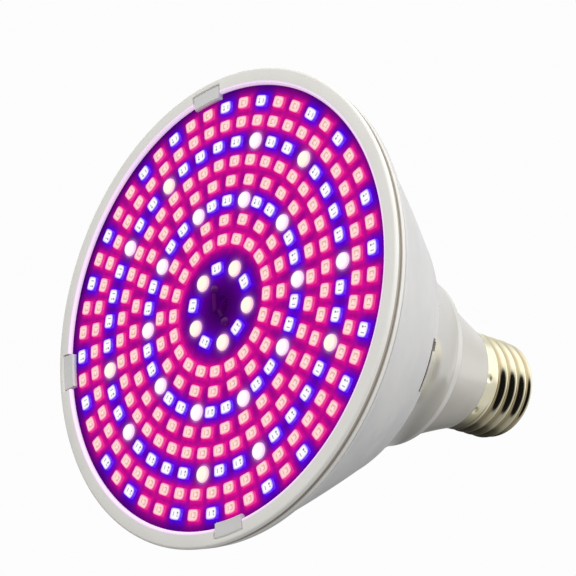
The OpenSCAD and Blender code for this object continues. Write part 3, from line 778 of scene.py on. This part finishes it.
def neck_shell():
    """Spigot, flare, step and tail in one section, with a deep window in the spigot and
    the flare's front edge at each slot's end, and the three ears of the twist lock."""
    flare = np.linspace(NECK_Z + 0.35, STEP_Z - 0.3, 40)
    tail = np.linspace(BEVEL_Z + 0.1, COLLAR_Z - 0.35, 26)
    inner_tail = np.linspace(COLLAR_Z - 1, BEVEL_Z, 8)
    inner_flare = np.linspace(STEP_Z, NECK_Z, 12)
    spigot = [(SPIGOT_R, SPIGOT_Z), (SPIGOT_R, SLOT_Z), (SPIGOT_R, SLOT_Z + 0.02),
              (SPIGOT_R, NECK_Z - 0.02), (NECK_R - 0.35, NECK_Z)]
    section = np.concatenate([
        spigot, [(NECK_R - 0.1, NECK_Z + 0.1)],
        np.column_stack([flare_r(flare), flare]),
        [(STEP_R - 0.08, STEP_Z - 0.05), (STEP_R - 0.3, STEP_Z + 0.14)],
        [(TAIL_R + 0.25, BEVEL_Z - 0.14)],
        np.column_stack([tail_r(tail), tail]),
        [(COLLAR_SEAT_R - 0.12, COLLAR_Z - 0.1), (COLLAR_SEAT_R - 0.35, COLLAR_Z),
         (PLUG_R, COLLAR_Z), (PLUG_R, PLUG_Z), (PLUG_TIP_R, PLUG_Z + 0.4),
         (PLUG_TIP_R, PLUG_TIP_Z), (PLUG_BORE_R, PLUG_TIP_Z), (PLUG_BORE_R, COLLAR_Z)],
        np.column_stack([tail_r(inner_tail) - NECK_WALL, inner_tail]),
        np.column_stack([np.minimum(flare_r(inner_flare) - NECK_WALL, SPIGOT_R - NECK_WALL),
                         inner_flare]),
        [(SPIGOT_R - NECK_WALL, SPIGOT_Z)]])
    low, high = SLOT_Z + 0.2, REAR_Z - 0.2
    ear = rounded([(SPIGOT_R - 0.4, low), (cone_r(low) - EAR_SINK, low),
                   (cone_r(high) - EAR_SINK, high), (SPIGOT_R - 0.4, high)],
                  [0, 0.25, 0.25, 0])
    ears = [sector_block(ear, start + WINDOW_ARC, SLOT_ARC - WINDOW_ARC - 0.6)
            for start in SLOT_ANGLES]
    open_spigot = section.copy()
    outside = section[:len(spigot) + 1 + len(flare), 1]
    cut = np.flatnonzero(outside < NECK_Z + WINDOW_RISE)[2:]
    open_spigot[cut, 0] = SPIGOT_R - WINDOW_DEPTH
    degrees = columns_with_edges(0.9, np.concatenate([SLOT_ANGLES, SLOT_ANGLES + WINDOW_ARC]))
    window = within(degrees, SLOT_ANGLES + WINDOW_ARC / 2, WINDOW_ARC / 2)
    sections = np.where(window[None, :, None], open_spigot[:, None], section[:, None])
    return joined([turned(sections, degrees)] + ears)


def shell_skin():
    """The screw shell: radius is the middle radius plus a cosine wave that climbs one
    pitch a turn. The wave fades in from the collar and out into the rolled lip, and each
    crimp is a bell-shaped dent in the collar."""
    degrees = np.arange(0, 360, 1.5)
    fade_z, fade_l = THREAD_Z - 0.8, 1.1
    heights = np.concatenate([
        np.linspace(COLLAR_Z + 0.1, COLLAR_Z + 0.35, 3), np.linspace(83.1, 84.8, 9),
        np.linspace(85.3, fade_z, 4)[:-1], np.linspace(fade_z, THREAD_Z + THREAD_L, 118)])
    turn = np.radians(np.linspace(10, 90, 9))
    lip = THREAD_Z + THREAD_L + LIP_ROUND * np.sin(turn)
    z = np.concatenate([heights, lip, [THREAD_Z + THREAD_L + LIP_ROUND]])
    t = np.clip((z - fade_z) / fade_l, 0, 1)
    t = t * t * (3 - 2 * t)
    middle = COLLAR_R + (THREAD_MID_R - COLLAR_R) * t
    middle[len(heights):-1] = THREAD_MID_R - LIP_ROUND * (1 - np.cos(turn))
    middle[-1] = MOUTH_R
    out = np.clip((THREAD_Z + THREAD_L + LIP_ROUND * 0.5 - z) / 1.3, 0, 1)
    wave = THREAD_WAVE * t * out * out * (3 - 2 * out)

    def skin(inward):
        angle = np.radians(degrees)[None, :]
        phase = 2 * np.pi * (z - THREAD_Z)[:, None] / PITCH - angle
        r = middle[:, None] + wave[:, None] * np.cos(phase) - inward
        for crimp in CRIMP_ANGLES:
            off = (degrees - crimp + 180) % 360 - 180
            across = COLLAR_R * np.radians(off)[None, :]
            away = (across ** 2 + (z - CRIMP_Z)[:, None] ** 2) / CRIMP_R ** 2
            r = r - CRIMP_DEPTH * np.exp(-away ** 2)
        return np.stack(np.broadcast_arrays(r, z[:, None]), -1)

    outside, inside = skin(0.0), skin(SHELL_T)
    inside[-1, :, 0] = MOUTH_R
    inside[len(heights):, :, 1] -= SHELL_T
    outside[0, :, 0] -= 0.05
    sections = np.concatenate([outside, inside[::-1]])
    points, faces = turned(sections, degrees)
    around = np.broadcast_to(degrees[None, :] / 360, sections.shape[:2])
    up = np.broadcast_to(sections[..., 1] / 100, sections.shape[:2])
    return (points, faces), np.stack([around, up], -1).reshape(-1, 2)


def insulator_outline():
    return [(0, 99.5), (10.4, 99.5), (10.4, 100.5), (9.7, 101.0), (9.7, 102.1), (9.55, 102.3),
            (6.5, 105.3), (6.2, 105.45), (5.9, INSULATOR_Z), (0, INSULATOR_Z)]


def contact_outline():
    """A flat rim and a low dome: radius by the cosine, height by the sine."""
    a = np.radians(np.arange(6, 90, 7))
    rim = np.column_stack([4.8 * np.cos(a), CONTACT_Z + 0.5 + 1.1 * np.sin(a)])
    return [(0, CONTACT_Z), (4.7, CONTACT_Z), (4.8, CONTACT_Z + 0.1), (4.8, CONTACT_Z + 0.45),
            *map(tuple, rim), (0, CONTACT_Z + 1.6)]


# The lamp's pieces

piece("ring_cover", ring_shell(), ring_finish(), "front_ring")
housing_plastic = moulded("housing_plastic", (0.655, 0.648, 0.64), (0.735, 0.728, 0.71),
                          (0.66, 0.645, 0.665), (0.36, 0.5)).material
piece("housing_cone", housing_shell(), housing_plastic, "housing")
piece("driver_neck", neck_shell(), neck_finish(), "driver_housing")

board_points, board_faces = board_shell()
piece("lit_board", (board_points, board_faces), board_finish(), "led_board",
      colours=board_glow(board_points))

# Dark parts inside the packages: low and high u, then low and high v
BRACKET = [(0.26, 0.34, 0.26, 0.74), (0.26, 0.5, 0.26, 0.35), (0.26, 0.5, 0.65, 0.74),
           (0.66, 0.72, 0.3, 0.7)]
DOTS_AND_DASH = [(0.24, 0.38, 0.28, 0.44), (0.24, 0.34, 0.62, 0.72), (0.30, 0.34, 0.44, 0.62),
                 (0.68, 0.74, 0.30, 0.70)]
red_package = package_finish(
    "red_package", (0.97, 0.66, 0.60), (0.97, 0.36, 0.54),
    {"bars": BRACKET, "depth": 0.75, "colour": (0.50, 0.27, 0.20), "chip": 1.0,
     "side": (0.80, 0.03, 0.27)},
    (0.04, 0.02, 0.03))
blue_package = package_finish(
    "blue_package", (0.96, 0.95, 0.98), (0.62, 0.50, 0.97),
    {"bars": DOTS_AND_DASH, "depth": 0.9, "colour": (0.05, 0.03, 0.10), "chip": 0.3,
     "side": (0.13, 0.01, 0.9)},
    (0.03, 0.03, 0.04))
warm_pool = flooded_finish("warm_pool", (1.0, 0.955, 0.82), (0.97, 0.60, 0.72), 0.74)
cool_pool = flooded_finish("cool_pool", (1.0, 0.96, 1.0), (0.95, 0.62, 0.92), 0.74)
led_packages("red_packages", "red_leds", ["red"], red_package)
led_packages("blue_packages", "blue_leds", ["blue"], blue_package)
led_domes("warm_pools", "warm_white_leds", ["warm"], warm_pool)
led_domes("cool_pools", "cool_white_leds", ["cool"], cool_pool)

(skin_points, skin_faces), skin_uv = shell_skin()
piece("plated_shell", (skin_points, skin_faces), shell_finish(), "screw_shell",
      uv=skin_uv)
glass = plain_finish("black_insulator", (0.02, 0.02, 0.024), 0.18, 0.3)
piece("insulator_cone", dome(insulator_outline(), 144), glass, "insulator")
tinned = plain_finish("tinned_contact", (0.75, 0.72, 0.62), 0.28, 0.15, Metallic=1.0)
piece("contact_button", dome(contact_outline(), 96), tinned, "centre_contact")

# CAD nodes that keep their own mesh

# What shows in the middle of the board lies in the LEDs' dim violet light: it gets a painted
# violet glow, and the solder and wires are painted dark violet
GLIMMER = {"Emission Color": (0.03, 0.0, 0.06, 1), "Emission Strength": 1.0,
           "Specular IOR Level": 0.1}
INNER = {
    "solder_joints": ((0.05, 0.0, 0.06), 0.4, 0.3, GLIMMER | {"Specular IOR Level": 0.3}),
    "positive_wire": ((0.05, 0.0, 0.05), 0.5, 0.3, GLIMMER),
    "negative_wire": ((0.02, 0.0, 0.03), 0.5, 0.3, GLIMMER),
    "heat_cup": ((0.78, 0.79, 0.8), 0.38, 0.1, GLIMMER | {"Metallic": 1.0}),
    # Painted glow: the driver board also gets a faint violet emission.
    "driver_board": ((0.05, 0.2, 0.07), 0.45, 0.25,
                     {"Emission Color": (0.012, 0.0, 0.02, 1), "Emission Strength": 1.0}),
    "transformer_core": ((0.05, 0.05, 0.055), 0.6, 0.2, {}),
    "transformer_coil": ((0.8, 0.56, 0.06), 0.4, 0.15, {}),
    "input_capacitor": ((0.02, 0.03, 0.06), 0.3, 0.3, {}),
    "output_capacitor": ((0.02, 0.03, 0.06), 0.3, 0.3, {}),
    "film_capacitor": ((0.45, 0.04, 0.02), 0.3, 0.2, {}),
    "inductor_core": ((0.05, 0.05, 0.055), 0.6, 0.2, {}),
    "inductor_coil": ((0.6, 0.24, 0.09), 0.3, 0.2, {"Metallic": 1.0}),
    "bridge_rectifier": ((0.02, 0.02, 0.022), 0.5, 0.3, {}),
    "driver_chip": ((0.02, 0.02, 0.022), 0.5, 0.3, {}),
    "fuse_resistor": ((0.5, 0.38, 0.18), 0.4, 0.2, {}),
    "chip_resistors": ((0.02, 0.02, 0.022), 0.5, 0.3, {}),
    "live_wire": ((0.75, 0.73, 0.68), 0.5, 0.1, {}),
    "neutral_wire": ((0.75, 0.73, 0.68), 0.5, 0.1, {}),
}
for node_name, (base, roughness, speckle, settings) in INNER.items():
    finish = plain_finish(node_name + "_finish", base, roughness, speckle, **settings)
    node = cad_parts[node_name]
    if node.data.materials:
        for index in range(len(node.data.materials)):
            node.material_slots[index].link = "OBJECT"
            node.material_slots[index].material = finish
    else:
        node.data.materials.append(finish)

# Camera, light and floor

# The photograph's camera, in the lamp's frame: right, down and forward
CAMERA_RIGHT = (0.62767782, -0.30743831, 0.71519385)
CAMERA_DOWN = (0.20279392, 0.95156802, 0.23106912)
CAMERA_AHEAD = (-0.75159509, 0.0, 0.65962475)
FACE_IN_CAMERA = (-17.1171755, 3.89267142, 590.0)
FOCAL_PIXELS = 2469.4093
FRAME_PIXELS = 576
SENSOR = 36.0

axes = np.array([CAMERA_RIGHT, CAMERA_DOWN, CAMERA_AHEAD])
camera_at = -(np.array(FACE_IN_CAMERA) @ axes) * MM
camera_data = bpy.data.cameras.new("photo_camera")
camera_data.sensor_fit = "HORIZONTAL"
camera_data.sensor_width = SENSOR
camera_data.lens = FOCAL_PIXELS / FRAME_PIXELS * SENSOR
camera_data.clip_end = 100
camera = bpy.data.objects.new("photo_camera", camera_data)
pose = np.eye(4)
pose[:3, 0], pose[:3, 1], pose[:3, 2], pose[:3, 3] = axes[0], -axes[1], -axes[2], camera_at
camera.matrix_world = Matrix(pose.tolist())
bpy.context.scene.collection.objects.link(camera)
bpy.context.scene.camera = camera

TARGET = np.array([0.0, 0.0, 0.05])


def from_camera(right, up, back):
    """Direction given by its parts to the camera's right, up and towards the camera."""
    way = right * axes[0] - up * axes[1] - back * axes[2]
    return way / np.linalg.norm(way)


def soft_lamp(name, direction, distance, size, power):
    """A square lamp that looks back at the target, and that only shaded surfaces see."""
    lamp = bpy.data.lights.new(name, "AREA")
    lamp.shape, lamp.size, lamp.energy = "SQUARE", size, power
    made = bpy.data.objects.new(name, lamp)
    side = np.cross((0.3, 0.9, 0.2), direction)
    side /= np.linalg.norm(side)
    pose = np.eye(4)
    pose[:3, :3] = np.stack([side, np.cross(direction, side), direction], 1)
    pose[:3, 3] = TARGET + direction * distance
    made.matrix_world = Matrix(pose.tolist())
    made.visible_camera = False
    made.visible_glossy = False
    bpy.context.scene.collection.objects.link(made)


def towards(*parts):
    """Direction given by its parts along the lamp's own axes."""
    return np.array(parts) / np.linalg.norm(parts)


soft_lamp("key_lamp", from_camera(-0.35, 1.0, 0.5), 0.9, 0.6, 3.8)
soft_lamp("side_lamp", towards(0.6, -0.75, 0.3), 0.9, 0.7, 4.6)
soft_lamp("front_lamp", from_camera(0.0, 0.2, 1.0), 1.2, 0.8, 3.6)
soft_lamp("back_lamp", towards(-0.6, 0.7, 0.35), 1.1, 0.9, 2.8)
soft_lamp("top_lamp", towards(0.1, 0.1, 1.0), 1.2, 1.0, 2.2)


# The studio tent's light levels, at angles about the lamp's axis: above a height of
# TENT_LIFT[1] degrees, and below TENT_LIFT[0]
TENT_R = 2.0
TENT_TURNS = [0, 35, 60, 75, 90, 107, 140, 155, 168, 180, 210, 242, 265, 298, 312, 330, 345,
              360]
TENT_UPPER = [0.62, 0.62, 0.45, 0.3, 0.18, 0.08, 0.05, 0.06, 0.25, 0.75, 0.85, 0.7, 1.15,
              1.35, 1.3, 1.1, 0.7, 0.62]
TENT_LOWER = [0.22, 0.33, 0.3, 0.24, 0.07, 0.03, 0.03, 0.05, 0.25, 0.75, 0.85, 0.68, 1.1,
              1.25, 0.95, 0.3, 0.25, 0.22]
TENT_LIFT = (15, 35)
TENT_OPENING = (36, 44)
TENT_BLACK = 0.008


def studio_tent():
    """A round tent that only reflections see: white cloth on one side, dark on the other,
    and black round the camera.

    The level round the tent is a broken line over the angle about the lamp's axis, and it
    falls to black within a cone about the camera's direction.
    """
    around = np.arange(0, 360, 3.0)
    up = np.linspace(-90, 90, 61)[1:-1]
    a, e = np.meshgrid(np.radians(around), np.radians(up))
    way = np.stack([np.cos(a) * np.cos(e), np.sin(a) * np.cos(e), np.sin(e)], -1)
    lift = np.clip((np.degrees(e) - TENT_LIFT[0]) / (TENT_LIFT[1] - TENT_LIFT[0]), 0, 1)
    turn = np.degrees(a) % 360
    level = (np.interp(turn, TENT_TURNS, TENT_UPPER) * lift
             + np.interp(turn, TENT_TURNS, TENT_LOWER) * (1 - lift))
    off_camera = np.degrees(np.arccos(np.clip(way @ -axes[2], -1, 1)))
    inner, outer = TENT_OPENING
    dark = np.clip((outer - off_camera) / (outer - inner), 0, 1)
    level = level * (1 - dark) + TENT_BLACK * dark
    points = way.reshape(-1, 3) * TENT_R + TARGET
    faces = grid_faces(len(up), len(around))[:, ::-1]
    mesh = bpy.data.meshes.new("studio_tent")
    mesh.from_pydata(points.tolist(), [], faces.tolist())
    cloth = mesh.color_attributes.new("level", "FLOAT_COLOR", "POINT")
    rgba = np.repeat(level.reshape(-1, 1), 4, 1)
    cloth.data.foreach_set("color", rgba.ravel().astype(np.float32))
    finish = Finish("studio_cloth", (0, 0, 0), 1.0, Specular_IOR_Level=0.0,
                    Emission_Strength=1.0)
    finish.feed(finish.add("Attribute", attribute_name="level").outputs["Color"],
                "Emission Color")
    mesh.materials.append(finish.material)
    made = bpy.data.objects.new("studio_tent", mesh)
    bpy.context.scene.collection.objects.link(made)
    for ray in ("camera", "diffuse", "transmission", "volume_scatter", "shadow"):
        setattr(made, "visible_" + ray, False)


studio_tent()

# Shaded surfaces see a plain grey level, and the camera and reflections see white
world = bpy.data.worlds.new("white_room")
bpy.context.scene.world = world
world.use_nodes = True
tree = world.node_tree
tree.nodes.clear()
path = tree.nodes.new("ShaderNodeLightPath")
shown = path.outputs["Is Camera Ray"]
for ray in ("Is Glossy Ray", "Is Transmission Ray"):
    either_ray = tree.nodes.new("ShaderNodeMath")
    either_ray.operation = "MAXIMUM"
    tree.links.new(shown, either_ray.inputs[0])
    tree.links.new(path.outputs[ray], either_ray.inputs[1])
    shown = either_ray.outputs[0]
plain_light = tree.nodes.new("ShaderNodeBackground")
plain_light.inputs["Color"].default_value = (0.345, 0.345, 0.355, 1)
white_room = tree.nodes.new("ShaderNodeBackground")
white_room.inputs["Color"].default_value = (0.98, 0.98, 0.98, 1)
either = tree.nodes.new("ShaderNodeMixShader")
tree.links.new(shown, either.inputs["Fac"])
tree.links.new(plain_light.outputs[0], either.inputs[1])
tree.links.new(white_room.outputs[0], either.inputs[2])
output = tree.nodes.new("ShaderNodeOutputWorld")
tree.links.new(either.outputs[0], output.inputs["Surface"])

# The floor is seen only from above, and only keeps the lamp's shadow
floor_mesh = bpy.data.meshes.new("floor")
side, level = 3.0, -0.6 * MM
floor_mesh.from_pydata([(-side, -side, level), (side, -side, level), (side, side, level),
                        (-side, side, level)], [], [(0, 1, 2, 3)])
floor_finish = Finish("pale_floor", (0.9, 0.9, 0.89), 0.8, Specular_IOR_Level=0.1)
away, _ = floor_finish.from_axis(floor_finish.place())
grain = floor_finish.noise(floor_finish.place(), 30, 3)
floor_finish.feed(floor_finish.mix(grain, (0.9, 0.9, 0.89), (0.93, 0.93, 0.92)), "Base Color")
far = floor_finish.spread(away, 0.16, 0.42, smooth=True)
light = floor_finish.add("Emission")
light.inputs["Color"].default_value = (0.98, 0.98, 0.98, 1)
fade = floor_finish.add("MixShader")
floor_finish.link(far, fade.inputs["Fac"])
floor_finish.link(floor_finish.shader.outputs[0], fade.inputs[1])
floor_finish.link(light.outputs[0], fade.inputs[2])
below = floor_finish.add("NewGeometry").outputs["Backfacing"]
clear = floor_finish.add("BsdfTransparent")
one_sided = floor_finish.add("MixShader")
floor_finish.link(below, one_sided.inputs["Fac"])
floor_finish.link(fade.outputs[0], one_sided.inputs[1])
floor_finish.link(clear.outputs[0], one_sided.inputs[2])
floor_finish.link(one_sided.outputs[0], floor_finish.tree.nodes["Material Output"].inputs[0])
floor_mesh.materials.append(floor_finish.material)
floor = bpy.data.objects.new("floor", floor_mesh)
bpy.context.scene.collection.objects.link(floor)
for ray in ("diffuse", "glossy", "transmission", "volume_scatter", "shadow"):
    setattr(floor, "visible_" + ray, False)

bpy.context.scene.view_settings.view_transform = "Standard"
